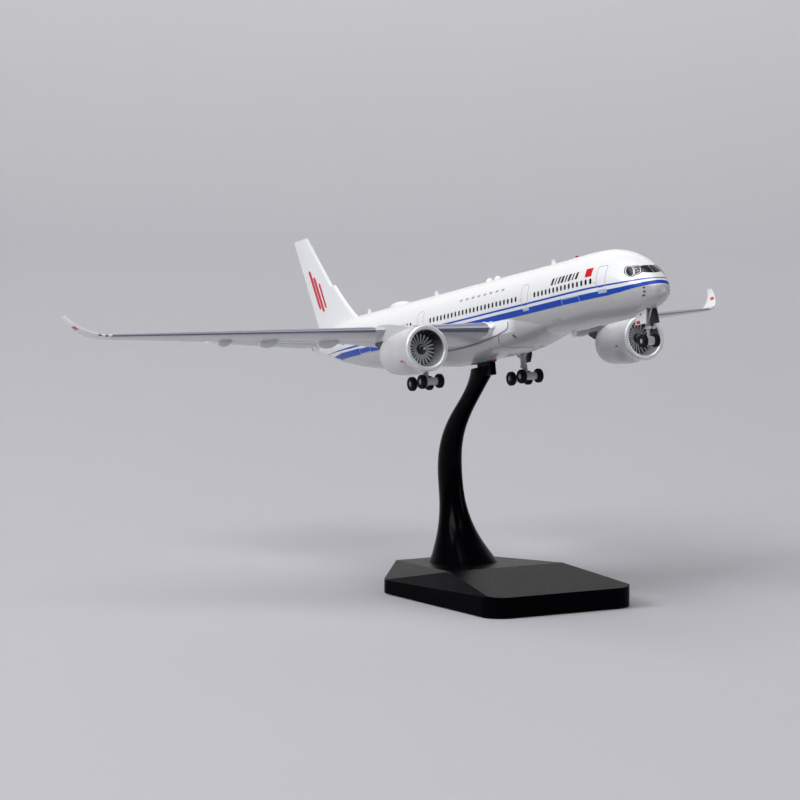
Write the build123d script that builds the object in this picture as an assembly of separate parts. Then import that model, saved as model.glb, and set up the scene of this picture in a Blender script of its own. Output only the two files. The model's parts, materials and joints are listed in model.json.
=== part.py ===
from build123d import *
import os
from math import cos, degrees, pi, radians, sin, sqrt

# Desktop airliner model on a display stand, in millimetres, +Z up.
# The part stands on Z = 0 with the nose towards +X and the port side towards +Y.
# The aircraft is drawn level in its own axes: stations are counted aft, along -x, from a
# point just ahead of the nose, and z from a datum just under the fuselage centreline.
# It is then tipped nose-up and lifted onto the stand.  Pieces that come in pairs are drawn on
# the port side and mirrored.

PITCH = 11.07            # nose-up attitude on the stand, degrees
DATUM_HEIGHT = 143.8     # height of the aircraft's own origin above the table
NOSE_X = 168.45          # where the aircraft's own origin lies along the finished part's X
STAND_X = 3.85           # the same for the stand, so that the whole part is centred on X = 0

# Fuselage
NOSE_STATION = 7.5       # where the radome begins
TAIL_STATION = 314.5     # where the tail cone ends
BODY_HALF_WIDTH = 14.6
BODY_HALF_HEIGHT = 14.5
BODY_AXIS_Z = 2.4        # centre of the round section above the datum
NOSE_LENGTH = 38.5       # length over which the nose grows to the full section
CHIN_LENGTH = 31.8       # the same for the underside, which is full sooner
NOSE_TIP_Z = -5.6
CROWN_END = 262.0        # station where the crown begins to fall
TAIL_START = 212.0       # station where the underside begins to sweep up
TAIL_TIP_Z = 7.7
TAIL_TIP_RADIUS = 1.4

# Belly fairing
BELLY_START, BELLY_END = 82.0, 212.0
BELLY_HALF_WIDTH = 16.2
BELLY_BOTTOM = -16.2
BELLY_AXIS_Z = -6.4

# Wing
WING_ROOT_Y = 10.0       # the root ends inside its socket in the fuselage
WING_KINK_Y = 52.0
WING_TIP_Y = 149.5       # where the blended winglet begins
WING_LE_AT_ZERO = 103.96
WING_LE_SLOPE = 0.6713   # tangent of the leading-edge sweep
WING_Z_AT_ZERO = -6.9
WING_DIHEDRAL = 0.0945   # rise per millimetre of span
ROOT_CHORD, KINK_CHORD, TIP_CHORD = 63.5, 38.5, 14.0
ROOT_THICKNESS, KINK_THICKNESS, TIP_THICKNESS = 0.125, 0.105, 0.10
WINGLET_ARC = 17.8       # length along the winglet's curved leading line
WINGLET_CANT_START, WINGLET_CANT_END = 8.0, 74.0
WINGLET_SWEEP = 17.6
WINGLET_TIP_CHORD = 3.4

# Tail surfaces
FIN_ROOT_Z, FIN_TIP_Z = 15.0, 59.0
FIN_LE_ROOT, FIN_LE_TIP = 272.6, 311.0
FIN_TE_ROOT, FIN_TE_TIP = 306.6, 325.3
STAB_ROOT_Y, STAB_TIP_Y = 5.0, 47.0
STAB_LE_ROOT, STAB_LE_TIP = 295.0, 323.6
STAB_ROOT_CHORD, STAB_TIP_CHORD = 26.0, 10.4
STAB_ROOT_Z, STAB_TIP_Z = 8.7, 14.6

# Engines
ENGINE_Y = 52.0
ENGINE_Z = -13.2
INLET_STATION = 106.9
NACELLE_LENGTH = 27.5
NACELLE_RADIUS = 9.7
LIP_RADIUS = 8.6
THROAT_RADIUS = 6.5
EXIT_RADIUS = 8.0
FAN_BLADES = 22
FAN_RADIUS = 6.35
FAN_STATION = 114.2
FAN_HUB_RADIUS = 2.3
FAN_PIN_RADIUS = 0.8
RUNNING_CLEARANCE = 0.05

# Landing gear
MAIN_GEAR_STATION = 163.0
MAIN_GEAR_Y = 24.3
MAIN_WHEEL_Z = -22.9
MAIN_WHEEL_RADIUS = 3.05
MAIN_WHEEL_WIDTH = 2.5
MAIN_HUB_RADIUS = 1.3
MAIN_AXLE_RADIUS = 0.5
MAIN_TUBE_RADIUS = 1.65
BOGIE_WHEELBASE = 9.2
BOGIE_TRACK = 8.2
NOSE_GEAR_STATION = 20.6
NOSE_WHEEL_Z = -22.4
NOSE_WHEEL_RADIUS = 2.7
NOSE_WHEEL_WIDTH = 2.1
NOSE_HUB_RADIUS = 1.05
NOSE_AXLE_RADIUS = 0.42
NOSE_TUBE_RADIUS = 1.75
NOSE_TRACK = 5.6
NOSE_LAMP_Z = -17.4
TUBE_GAP = 0.15          # between an axle tube and the tyre beside it

# Stand
BASE_FRONT_X, BASE_FRONT_HALF = 85.0, 34.3
BASE_SIDE_X, BASE_SIDE_HALF = 3.6, 41.8
BASE_REAR_X, BASE_REAR_HALF = -30.5, 17.2
BASE_CORNER_RADII = (9.0, 8.0, 5.0)  # at the front, the widest point and the rear
PEG_STATION = 152.5      # where the stand's flat peg enters the belly
PEG_DEPTH = 7.0
PEG_LENGTH, PEG_WIDTH = 11.0, 2.8
PEG_CLEARANCE = 0.12
PEG_NECK = 2.2           # length of peg left bare between the arm and the belly
SOCKET_STATION, SOCKET_LENGTH, SOCKET_WIDTH = 154.5, 15.6, 4.6
SOCKET_LIP = 0.4         # the socket stands this far out of the belly

os.makedirs("parts", exist_ok=True)


# ---------------------------------------------------------------- helpers

AIRCRAFT = Location((NOSE_X, 0, DATUM_HEIGHT)) * Rotation(0, -PITCH, 0)
STAND = Location((STAND_X, 0, 0))
PERCH = STAND.inverse() * AIRCRAFT     # the aircraft's place as seen from the stand


def at(station, y, z):
    """A point of the aircraft, from its station behind the nose."""
    return Vector(-station, y, z)


def only_solid(shape):
    """The biggest solid of a cut, so that stray slivers are dropped."""
    return max(shape.solids(), key=lambda s: s.volume)


def across(radius, length, centre):
    """A cylinder whose axis runs across the aircraft, along Y."""
    return Location(centre) * Rotation(90, 0, 0) * Cylinder(radius, length)


def along(radius, length, centre):
    """A cylinder whose axis runs along the aircraft, along X."""
    return Location(centre) * Rotation(0, 90, 0) * Cylinder(radius, length)


def rod(start, end, radius):
    """A round strut between two points."""
    start, end = Vector(start), Vector(end)
    plane = Plane(origin=start, z_dir=end - start)
    return extrude(plane * Circle(radius), (end - start).length)


def export(node, shape, place=AIRCRAFT):
    """Put one node in its place and write it; a group of pieces stays separate solids."""
    parts = []
    for item in shape if isinstance(shape, list) else [shape]:
        parts.extend((place * item).solids())
    out = parts[0] if len(parts) == 1 else Compound(children=parts)
    export_step(out, f"parts/{node}.step")
    print(node, len(parts), round(sum(p.volume for p in parts), 2))


# ---------------------------------------------------------------- fuselage

CROWN_Z = BODY_AXIS_Z + BODY_HALF_HEIGHT
KEEL_Z = BODY_AXIS_Z - BODY_HALF_HEIGHT


def body_outline(station):
    """Crown height, keel height and half-width of the fuselage at a station."""
    crown, keel, half = CROWN_Z, KEEL_Z, BODY_HALF_WIDTH
    nose = (station - NOSE_STATION) / NOSE_LENGTH
    chin = (station - NOSE_STATION) / CHIN_LENGTH
    if nose < 1:
        crown = NOSE_TIP_Z + (CROWN_Z - NOSE_TIP_Z) * sin(pi / 2 * nose) ** 0.55
        half = BODY_HALF_WIDTH * sqrt(1 - (1 - nose) ** 1.7)
    if chin < 1:
        keel = NOSE_TIP_Z + (KEEL_Z - NOSE_TIP_Z) * sqrt(1 - (1 - chin) ** 2)
    if station > CROWN_END:
        t = (station - CROWN_END) / (TAIL_STATION - CROWN_END)
        crown = CROWN_Z - (CROWN_Z - TAIL_TIP_Z - TAIL_TIP_RADIUS) * t ** 2
    if station > TAIL_START:
        t = (station - TAIL_START) / (TAIL_STATION - TAIL_START)
        keel = KEEL_Z + (TAIL_TIP_Z - TAIL_TIP_RADIUS - KEEL_Z) * t ** 1.66
        half = TAIL_TIP_RADIUS + (BODY_HALF_WIDTH - TAIL_TIP_RADIUS) * (1 - t ** 2.1)
    return crown, keel, half


def cross_section(station, crown, keel, half):
    """An upright ellipse between two heights."""
    plane = Plane(origin=at(station, 0, (crown + keel) / 2), x_dir=(0, 1, 0), z_dir=(1, 0, 0))
    return plane * Ellipse(half, (crown - keel) / 2)


def fuselage_form():
    """The outer form of the fuselage, from the radome to the tail cone."""
    nose = [NOSE_STATION + NOSE_LENGTH * (i / 10) ** 2 for i in range(1, 11)]
    barrel = [75, 110, 150, 190, TAIL_START]
    tail = [226, 239, 251, CROWN_END, 274, 286, 297, 307, TAIL_STATION]
    sections = [cross_section(s, *body_outline(s)) for s in nose + barrel + tail]
    return loft([Vertex(*at(NOSE_STATION, 0, NOSE_TIP_Z))] + sections)


def belly_form():
    """The bulged fairing under the wing, blended into the fuselage at both ends."""
    sections = []
    for i in range(13):
        u = i / 12
        rise = sin(pi / 2 * min(1, min(u, 1 - u) / 0.34)) ** 1.2
        half = 10.2 + (BELLY_HALF_WIDTH - 10.2) * rise
        keel = KEEL_Z + 1.2 + (BELLY_BOTTOM - KEEL_Z - 1.2) * rise
        station = BELLY_START + u * (BELLY_END - BELLY_START)
        sections.append(cross_section(station, 2 * BELLY_AXIS_Z - keel, keel, half))
    return loft(sections)


# ---------------------------------------------------------------- flying surfaces

AEROFOIL_POINTS = 9


def aerofoil(leading, chord, thickness, twist=0, cant=0, camber=0.012):
    """A wing section: two splines from the leading edge to a blunt trailing edge."""
    turn = Rotation(cant, 0, 0)
    back = (turn * Location((-cos(radians(twist)), 0, -sin(radians(twist))))).position
    lift = (turn * Location((-sin(radians(twist)), 0, cos(radians(twist))))).position
    upper, lower = [], []
    for i in range(AEROFOIL_POINTS):
        x = (1 - cos(pi * i / (AEROFOIL_POINTS - 1))) / 2
        half = 5 * thickness * chord * (
            0.2969 * sqrt(x) - 0.126 * x - 0.3516 * x**2 + 0.2843 * x**3 - 0.1015 * x**4)
        half += 0.12 * x
        mean = 4 * camber * chord * x * (1 - x)
        upper.append(leading + back * (x * chord) + lift * (mean + half))
        lower.append(leading + back * (x * chord) + lift * (mean - half))
    lower[0] = upper[0]
    edges = [Spline(*upper), Line(upper[-1], lower[-1]), Spline(*lower)]
    return Face(Wire(edges))


def wing_leading(y):
    """The wing's leading edge at a distance from the centreline."""
    return at(WING_LE_AT_ZERO + WING_LE_SLOPE * y, y, WING_Z_AT_ZERO + WING_DIHEDRAL * y)


def wing_chord(y):
    """The wing's chord, with the kink in the trailing edge."""
    if y < WING_KINK_Y:
        inboard = (y - WING_ROOT_Y) / (WING_KINK_Y - WING_ROOT_Y)
        return ROOT_CHORD + (KINK_CHORD - ROOT_CHORD) * inboard
    outboard = (y - WING_KINK_Y) / (WING_TIP_Y - WING_KINK_Y)
    return KINK_CHORD + (TIP_CHORD - KINK_CHORD) * outboard


def winglet_section(w):
    """A section of the winglet, which curls upward on an arc as it sweeps back."""
    start, end = radians(WINGLET_CANT_START), radians(WINGLET_CANT_END)
    radius = WINGLET_ARC / (end - start)
    cant = start + (end - start) * w
    outward = radius * (sin(cant) - sin(start))
    upward = radius * (cos(start) - cos(cant))
    leading = wing_leading(WING_TIP_Y) + Vector(-WINGLET_SWEEP * w ** 1.15, outward, upward)
    chord = TIP_CHORD + (WINGLET_TIP_CHORD - TIP_CHORD) * w
    return aerofoil(leading, chord, TIP_THICKNESS, 0, degrees(cant), 0)


def port_wing():
    """The port wing: inner panel, outer panel and blended winglet."""
    root = aerofoil(wing_leading(WING_ROOT_Y), ROOT_CHORD, ROOT_THICKNESS, 4.0)
    kink = aerofoil(wing_leading(WING_KINK_Y), KINK_CHORD, KINK_THICKNESS, 2.5)
    tip = winglet_section(0)
    inner = loft([root, kink], ruled=True)
    outer = loft([kink, tip], ruled=True)
    winglet = loft([winglet_section(i / 5) for i in range(6)])
    return only_solid(inner + outer + winglet)


def port_stabiliser():
    """The port half of the tailplane."""
    root = aerofoil(at(STAB_LE_ROOT, STAB_ROOT_Y, STAB_ROOT_Z), STAB_ROOT_CHORD, 0.11, camber=0)
    tip = aerofoil(at(STAB_LE_TIP, STAB_TIP_Y, STAB_TIP_Z), STAB_TIP_CHORD, 0.09, camber=0)
    return loft([root, tip], ruled=True)


def fin_form():
    """The fin, with a root fillet that runs forward onto the crown."""
    def section(z, lead, trail, thickness):
        return aerofoil(Vector(-lead, 0, z), trail - lead, thickness, 0, 90, 0)

    main = loft([section(FIN_ROOT_Z - 6, FIN_LE_ROOT - 5.0, FIN_TE_ROOT - 2.4, 0.10),
                 section(FIN_TIP_Z, FIN_LE_TIP, FIN_TE_TIP, 0.085)], ruled=True)
    fillet = loft([section(CROWN_Z - 5.0, 257.0, 300.0, 0.058),
                   section(CROWN_Z - 0.3, 266.0, 303.0, 0.066),
                   section(CROWN_Z + 5.5, 274.0, 305.5, 0.082),
                   section(CROWN_Z + 17.0, 286.5, 309.5, 0.095)])
    return only_solid(main + fillet)


# ---------------------------------------------------------------- engines

ENGINE_PLANE = Plane(origin=at(0, ENGINE_Y, ENGINE_Z), x_dir=(-1, 0, 0), z_dir=(0, 1, 0))
ENGINE_AXIS = Axis(at(0, ENGINE_Y, ENGINE_Z), (-1, 0, 0))


def turned(edges):
    """Spin an outline of (station, radius) edges about the port engine's axis."""
    face = make_face(edges)
    return revolve(ENGINE_PLANE * face, ENGINE_AXIS, 360)


def nacelle():
    """The cowl: rounded inlet lip, barrel and fan nozzle, open right through."""
    front, back = INLET_STATION, INLET_STATION + NACELLE_LENGTH
    lip = (front, LIP_RADIUS)
    outer = Spline(lip, (front + 3.5, LIP_RADIUS + 0.75), (front + 11.0, NACELLE_RADIUS),
                   (front + 19.0, NACELLE_RADIUS - 0.4), (back, EXIT_RADIUS + 0.15),
                   tangents=[(0, 1), (1, -0.22)])
    inner = Spline((back, EXIT_RADIUS - 0.15), (front + 18.0, THROAT_RADIUS + 1.0),
                   (front + 10.0, THROAT_RADIUS + 0.05), (front + 6.0, THROAT_RADIUS + 0.05),
                   (front + 2.6, THROAT_RADIUS + 0.9), lip, tangents=[(-1, -0.05), (0, 1)])
    edge = Line((back, EXIT_RADIUS + 0.15), (back, EXIT_RADIUS - 0.15))
    return turned([outer, edge, inner])


CORE_FRONT = FAN_STATION + 3.6


def engine_core():
    """The core cowl with its nozzle and plug, on ten guide vanes that reach the cowl."""
    nozzle = CORE_FRONT + 22.0
    plug_end = nozzle + 6.5
    outline = [
        Line((CORE_FRONT, 0), (CORE_FRONT, 3.0)),
        Spline((CORE_FRONT, 3.0), (CORE_FRONT + 7, 4.7), (CORE_FRONT + 14, 4.7), (nozzle, 3.5)),
        Line((nozzle, 3.5), (nozzle - 0.6, 2.3)),
        Spline((nozzle - 0.6, 2.3), (nozzle + 3, 1.5), (plug_end, 0.35)),
        Line((plug_end, 0.35), (plug_end, 0)),
        Line((plug_end, 0), (CORE_FRONT, 0)),
    ]
    body = turned(outline)
    for i in range(10):
        turn = Location(at(0, ENGINE_Y, ENGINE_Z)) * Rotation(36 * i, 0, 0)
        body += turn * Location((-CORE_FRONT - 2.6, 0, 5.6)) * Box(3.2, 0.5, 5.4)
    bore = along(FAN_PIN_RADIUS, 3.0, at(CORE_FRONT + 1.5, ENGINE_Y, ENGINE_Z))
    return only_solid(body - nacelle() - bore)


def fan_pin():
    """The steel pin on which the fan turns, pressed into the front of the core."""
    front = FAN_STATION - 0.6
    length = CORE_FRONT + 3.0 - front
    return along(FAN_PIN_RADIUS, length, at(front + length / 2, ENGINE_Y, ENGINE_Z))


def fan():
    """Twisted blades on a hub with a pointed spinner, bored for its pin."""
    hub_front, hub_back = FAN_STATION - 1.4, FAN_STATION + 1.6
    tip = hub_front - 3.4
    outline = [
        Line((hub_back, 0), (hub_back, FAN_HUB_RADIUS)),
        Line((hub_back, FAN_HUB_RADIUS), (hub_front, FAN_HUB_RADIUS)),
        Spline((hub_front, FAN_HUB_RADIUS), (hub_front - 1.9, 1.35), (tip, 0.15),
               tangents=[(-1, -0.25), (-1, -0.7)]),
        Line((tip, 0.15), (tip, 0)),
        Line((tip, 0), (hub_back, 0)),
    ]
    rotor = turned(outline)
    blades = []
    for i in range(FAN_BLADES):
        turn = Location(at(FAN_STATION, ENGINE_Y, ENGINE_Z)) * Rotation(360 / FAN_BLADES * i, 0, 0)
        root = Plane(origin=(0, 0, 1.9)) * Rotation(0, 0, 35) * Rectangle(2.6, 0.34)
        end = Plane(origin=(0, 0, FAN_RADIUS + 0.4)) * Rotation(0, 0, 58) * Rectangle(3.2, 0.30)
        blades.append(turn * loft([root, end], ruled=True))
    rotor = rotor + blades
    rotor = rotor & along(FAN_RADIUS, 12, at(FAN_STATION, ENGINE_Y, ENGINE_Z))
    bore = along(FAN_PIN_RADIUS + RUNNING_CLEARANCE, 2.6, at(hub_back - 0.9, ENGINE_Y, ENGINE_Z))
    return only_solid(rotor - bore)


def pylon(wing, cowl, core):
    """The pylon: from the cowl's crown over the leading edge, with a dark aft fairing."""
    outline = FilletPolyline(
        (-112.5, -4.6), (-124.0, -2.0), (-139.0, 0.2), (-146.5, 0.6), (-149.0, -5.0),
        (-150.8, -7.2), (-146.2, -9.5), (-133.0, -9.8), (-127.0, -4.9), close=True, radius=0.4)
    side = Plane(origin=(0, ENGINE_Y, 0), x_dir=(1, 0, 0), z_dir=(0, -1, 0))
    blank = extrude(side * make_face(outline.edges()), 1.35, both=True)
    return only_solid(blank - wing - cowl - core)


# ---------------------------------------------------------------- small fittings

def pod(nose, length, width, height):
    """A slim rounded body on a lengthwise axis, such as a fairing or a radome."""
    sections = [Vertex(*nose)]
    for u in (0.04, 0.15, 0.35, 0.6, 0.82, 0.96):
        size = sqrt(1 - (1 - min(u / 0.45, 1)) ** 2) * (1 - max(0, (u - 0.45) / 0.55) ** 2.2)
        plane = Plane(origin=nose - Vector(u * length, 0, 0), x_dir=(0, 1, 0), z_dir=(1, 0, 0))
        sections.append(plane * Ellipse(width / 2 * size, height / 2 * size))
    return loft(sections)


def blade_antenna(station, base_z, height, up=1):
    """A swept blade aerial standing on the skin."""
    side = Plane(origin=at(station, 0, base_z), x_dir=(1, 0, 0), z_dir=(0, -1, 0))
    outline = Polyline((1.7, -0.8 * up), (0.2, height * up), (-1.3, height * up),
                       (-1.9, -0.8 * up), close=True)
    return extrude(side * make_face(outline.edges()), 0.3, both=True)


FLAP_FAIRINGS = ((36.0, 1.0), (62.5, 1.0), (85.5, 1.0), (101.5, 0.8))   # distance out, size
FAIRING_WIDTH, FAIRING_HEIGHT = 3.3, 5.2
FAIRING_OVERHANG = 5.0   # behind the trailing edge


def flap_fairings(wing):
    """Four canoe fairings under the trailing edge of the port wing."""
    pods = []
    for y, size in FLAP_FAIRINGS:
        leading = wing_leading(y)
        chord = wing_chord(y)
        length = (14 + 0.2 * chord) * size
        nose = leading + Vector(length - chord - FAIRING_OVERHANG, 0, -0.3 - 0.04 * chord)
        canoe = pod(nose, length, FAIRING_WIDTH * size, FAIRING_HEIGHT * size)
        pods.append(only_solid(canoe - wing))
    return pods


# ---------------------------------------------------------------- landing gear

def wheel_pair(station, y, z, track, radius, width, hub_radius, axle_radius):
    """An axle with two hubs and two tyres, which turn together."""
    axle = across(axle_radius, track + width * 0.9, at(station, y, z))
    hubs, tyres = [], []
    for side in (-1, 1):
        centre = at(station, y + side * track / 2, z)
        rim = across(hub_radius, width * 0.72, centre)
        dish = across(hub_radius * 0.72, width * 0.22, centre + Vector(0, side * width * 0.31, 0))
        boss = across(axle_radius * 1.5, width * 0.72, centre)
        hubs.append(only_solid(rim - dish + boss - axle))
        ring = across(radius, width, centre)
        ring = fillet(ring.edges(), width * 0.33)
        tyres.append(only_solid(ring - across(hub_radius, width * 2, centre)))
    return axle, hubs, tyres


def main_leg(wing, belly):
    """The port main leg: cylinder, piston, side stay, drag stay and hinge lugs."""
    y, s = MAIN_GEAR_Y, MAIN_GEAR_STATION
    foot = at(s, y, MAIN_WHEEL_Z)
    leg = rod(at(s, y, -7.5), at(s, y, -18.6), 1.3)
    leg += rod(at(s, y, -18.6), foot + Vector(0, 0, 0.9), 0.85)
    leg += rod(at(s, y, -18.9), at(s, y, -17.6), 1.55)
    leg += rod(at(s, y, -15.2), at(s - 1.5, y - 7.5, -10.5), 0.55)
    leg += rod(at(s, y, -16.2), at(s - 7.0, y - 0.5, -9.0), 0.5)
    link = [at(s - 1.1, y, -18.2), at(s - 2.6, y, -20.0), at(s - 1.0, y, -21.6)]
    leg += rod(link[0], link[1], 0.4) + Location(link[1]) * Sphere(0.4) + rod(link[1], link[2], 0.4)
    return only_solid(leg - wing - belly - bogie())


def bogie():
    """The port bogie beam with a cross tube for each axle."""
    y, s, z = MAIN_GEAR_Y, MAIN_GEAR_STATION, MAIN_WHEEL_Z
    half = BOGIE_WHEELBASE / 2
    tube = BOGIE_TRACK - MAIN_WHEEL_WIDTH - 2 * TUBE_GAP
    beam = along(0.95, BOGIE_WHEELBASE, at(s, y, z))
    for side in (-1, 1):
        beam += across(MAIN_TUBE_RADIUS, tube, at(s + side * half, y, z))
    for side in (-1, 1):
        beam -= across(MAIN_AXLE_RADIUS + RUNNING_CLEARANCE, tube * 2, at(s + side * half, y, z))
    beam += Location(at(s, y, z + 0.5)) * Box(2.4, 1.9, 1.9)
    return only_solid(beam)


def main_door(wing):
    """The door panel carried on the outboard side of the port main leg."""
    y, s = MAIN_GEAR_Y + 2.4, MAIN_GEAR_STATION
    side = Plane(origin=at(s, y, 0), x_dir=(1, 0, 0), z_dir=(0, -1, 0))
    outline = Polyline((-3.2, -6.0), (3.4, -6.0), (3.4, -13.5), (1.6, -16.6), (-2.2, -16.6),
                       (-3.2, -13.0), close=True)
    panel = extrude(side * make_face(outline.edges()), 0.35, both=True)
    lugs = rod(at(s, y - 2.4 + 1.2, -12.4), at(s, y, -12.4), 0.45)
    return only_solid(panel + lugs - wing - rod(at(s, MAIN_GEAR_Y, -7.5), at(s, MAIN_GEAR_Y, -18.6), 1.3))


def nose_leg(body):
    """The nose leg: cylinder, piston, axle tube, drag stay and twin lamps."""
    s = NOSE_GEAR_STATION
    leg = rod(at(s, 0, NOSE_BAY[3]), at(s, 0, -17.4), 1.0)
    leg += rod(at(s, 0, -17.4), at(s, 0, NOSE_WHEEL_Z), 0.62)
    leg += rod(at(s, 0, -17.7), at(s, 0, -16.6), 1.2)
    leg += rod(at(s, 0, -15.4), at(s - 4.0, 0, -9.6), 0.45)
    tube = NOSE_TRACK - NOSE_WHEEL_WIDTH - 2 * TUBE_GAP
    leg += across(NOSE_TUBE_RADIUS, tube, at(s, 0, NOSE_WHEEL_Z))
    for side in (-1, 1):
        leg += along(0.75, 1.0, at(s - 2.6, side * 1.05, NOSE_LAMP_Z))
    leg += across(0.35, 2.6, at(s - 2.2, 0, NOSE_LAMP_Z))
    leg += along(0.4, 2.4, at(s - 1.2, 0, NOSE_LAMP_Z))
    leg -= across(NOSE_AXLE_RADIUS + RUNNING_CLEARANCE, tube * 2, at(s, 0, NOSE_WHEEL_Z))
    return only_solid(leg - body)


NOSE_BAY = (16.3, 25.1, 2.5, -9.0)   # front station, rear station, half-width, roof


def nose_bay():
    """The open wheel bay under the nose."""
    front, back, half, roof = NOSE_BAY
    return Location(at((front + back) / 2, 0, roof - 4)) * Box(back - front, 2 * half, 8)


def nose_door(body):
    """The port bay door, hanging open from the edge of the bay."""
    front, back, half, roof = NOSE_BAY
    hinge = at((front + back) / 2, half, roof - 1.0)
    panel = Box(back - front - 0.8, 0.45, 5.8, align=(Align.CENTER, Align.MAX, Align.MAX))
    return only_solid(Location(hinge) * Rotation(7, 0, 0) * panel - body)


# ---------------------------------------------------------------- stand

FLOOR_GAP = 0.3          # the base rides this far above the table on its pads
PLATEAU_REAR = (-28.9, 18.5, 8.2)    # where the top facet ends behind: x, half-width, height
PLATEAU_FRONT = (36.4, 27.4, 12.7)
FRONT_EDGE_HEIGHT = 8.9
SIDE_EDGE_HEIGHT = 5.8
ARM_STATIONS = (         # height, centre x, half-length, half-width of the arm's oval section
    (8.5, -0.4, 20.5, 14.5),
    (14.5, -2.8, 16.2, 11.2),
    (22.0, -6.7, 11.5, 8.0),
    (35.5, -11.4, 7.6, 5.1),
    (48.5, -13.8, 7.0, 4.7),
    (60.0, -12.6, 6.7, 4.2),
    (72.0, -5.6, 6.2, 3.5),
    (82.0, 4.2, 5.6, 3.1),
    (90.5, 11.9, 6.4, 3.3),
    (97.5, 15.6, 8.4, 3.7),
)
ARM_FOOT_X = -2.0
ARM_TENON = (7.5, 5.0, 4.5)          # half-length, half-width, lowest height
SCREW_HEAD, SCREW_SHANK = 3.4, 1.5
PAD_RADIUS, PAD_HEIGHT = 5.0, 1.0
PAD_PLACES = ((68, 22), (2, 29), (-24, 13))


def facet(a, b, c):
    """The plane through three points, facing up."""
    a, b, c = Vector(*a), Vector(*b), Vector(*c)
    normal = (b - a).cross(c - a)
    if normal.Z < 0:
        normal = normal * -1
    return Plane(origin=a, z_dir=normal)


def stand_base():
    """A low faceted foot: a sloping top facet, a front facet, two side facets, a rear one."""
    corners = [(BASE_FRONT_X, BASE_FRONT_HALF), (BASE_SIDE_X, BASE_SIDE_HALF),
               (BASE_REAR_X, BASE_REAR_HALF)]
    ring = corners + [(x, -y) for x, y in reversed(corners)]
    radii = BASE_CORNER_RADII + tuple(reversed(BASE_CORNER_RADII))
    plan = FilletPolyline(*ring, close=True, radius=radii)
    base = extrude(Plane(origin=(0, 0, FLOOR_GAP)) * make_face(plan.edges()), 16)
    xr, yr, zr = PLATEAU_REAR
    xf, yf, zf = PLATEAU_FRONT
    facets = [
        facet((xr, 0, zr), (xf, 0, zf), (xf, yf, zf)),
        facet((xf, 0, zf), (xf, yf, zf), (BASE_FRONT_X - 3, 0, FRONT_EDGE_HEIGHT)),
        facet((xr, 0, zr), (xr, yr, zr), (BASE_REAR_X, 0, SIDE_EDGE_HEIGHT)),
    ]
    for side in (-1, 1):
        widest = (BASE_SIDE_X, side * BASE_SIDE_HALF, SIDE_EDGE_HEIGHT)
        facets.append(facet((xr, side * yr, zr), (xf, side * yf, zf), widest))
        facets.append(facet((BASE_FRONT_X - 3, side * BASE_FRONT_HALF, FRONT_EDGE_HEIGHT),
                            (xf, side * yf, zf), widest))
    for plane in facets:
        base = split(base, bisect_by=plane, keep=Keep.BOTTOM)
    base -= tenon(0.05)
    base -= Location((ARM_FOOT_X, 0, FLOOR_GAP)) * Cylinder(
        SCREW_HEAD + 0.4, 2.9, align=(Align.CENTER, Align.CENTER, Align.MIN))
    base -= Location((ARM_FOOT_X, 0, 0)) * Cylinder(SCREW_SHANK + 0.15, 10)
    for pad in stand_pads():
        base -= pad
    return only_solid(base)


def tenon(margin=0.0):
    """The oval tenon under the arm, or the socket for it in the base."""
    a, b, low = ARM_TENON
    plane = Plane(origin=(ARM_FOOT_X, 0, low - margin))
    return extrude(plane * Ellipse(a + margin, b + margin), 12)


def peg(margin=0.0):
    """The flat tongue that carries the aircraft, or its slot, in the aircraft's axes."""
    length = PEG_LENGTH + 2 * margin
    width = PEG_WIDTH + 2 * margin
    bottom, top = BELLY_BOTTOM - PEG_NECK - 4.0, BELLY_BOTTOM + PEG_DEPTH + 2 * margin
    middle = at(PEG_STATION, 0, (bottom + top) / 2)
    return Location(middle) * Box(length, width, top - bottom)


def peg_socket(margin=0.0):
    """The block let into the belly round the peg, or the hole for it."""
    top = KEEL_Z + 0.5
    bottom = BELLY_BOTTOM - SOCKET_LIP - margin
    block = Box(SOCKET_LENGTH + 2 * margin, SOCKET_WIDTH + 2 * margin, top - bottom)
    block = fillet(block.edges().filter_by(Axis.Z), 0.8)
    return Location(at(SOCKET_STATION, 0, (bottom + top) / 2)) * block


def stand_arm():
    """The swept arm: an oval column that leans back, then forward under the belly."""
    sections = []
    for height, x, half_length, half_width in ARM_STATIONS:
        sections.append(Plane(origin=(x, 0, height)) * Ellipse(half_length, half_width))
    column = loft(sections)
    shoulder = PERCH * Location(at(PEG_STATION, 0, BELLY_BOTTOM - PEG_NECK))
    return split(column, bisect_by=Plane(shoulder), keep=Keep.BOTTOM)


def stand_screw():
    """The pan-head screw that holds the arm from below."""
    head = Cylinder(SCREW_HEAD, 2.2, align=(Align.CENTER, Align.CENTER, Align.MIN))
    head = fillet(head.edges().group_by(Axis.Z)[0], 0.8)
    recess = Box(4.4, 0.9, 1.4) + Box(0.9, 4.4, 1.4)
    shank = Cylinder(SCREW_SHANK, 14.0, align=(Align.CENTER, Align.CENTER, Align.MIN))
    return Location((ARM_FOOT_X, 0, FLOOR_GAP + 0.7)) * (head + shank - recess)


def stand_pads():
    """Six round pads let into the underside of the base."""
    pads = []
    for x, y in PAD_PLACES:
        for side in (-1, 1):
            pads.append(Location((x, side * y, PAD_HEIGHT / 2)) * Cylinder(PAD_RADIUS, PAD_HEIGHT))
    return pads


# ---------------------------------------------------------------- assembly

def mirrored(shape):
    """The starboard twin of a port piece."""
    if isinstance(shape, list):
        return [mirror(s, Plane.XZ) for s in shape]
    return mirror(shape, Plane.XZ)


def export_pair(name, shape):
    """Write a port piece as NAME_left and its mirror image as NAME_right."""
    export(f"{name}_left", shape)
    export(f"{name}_right", mirrored(shape))


wing = port_wing()
wings = [wing, mirrored(wing)]
skin = fuselage_form()
bulge = belly_form()
tail = port_stabiliser()
fin = fin_form()
slot = peg(PEG_CLEARANCE)

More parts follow.
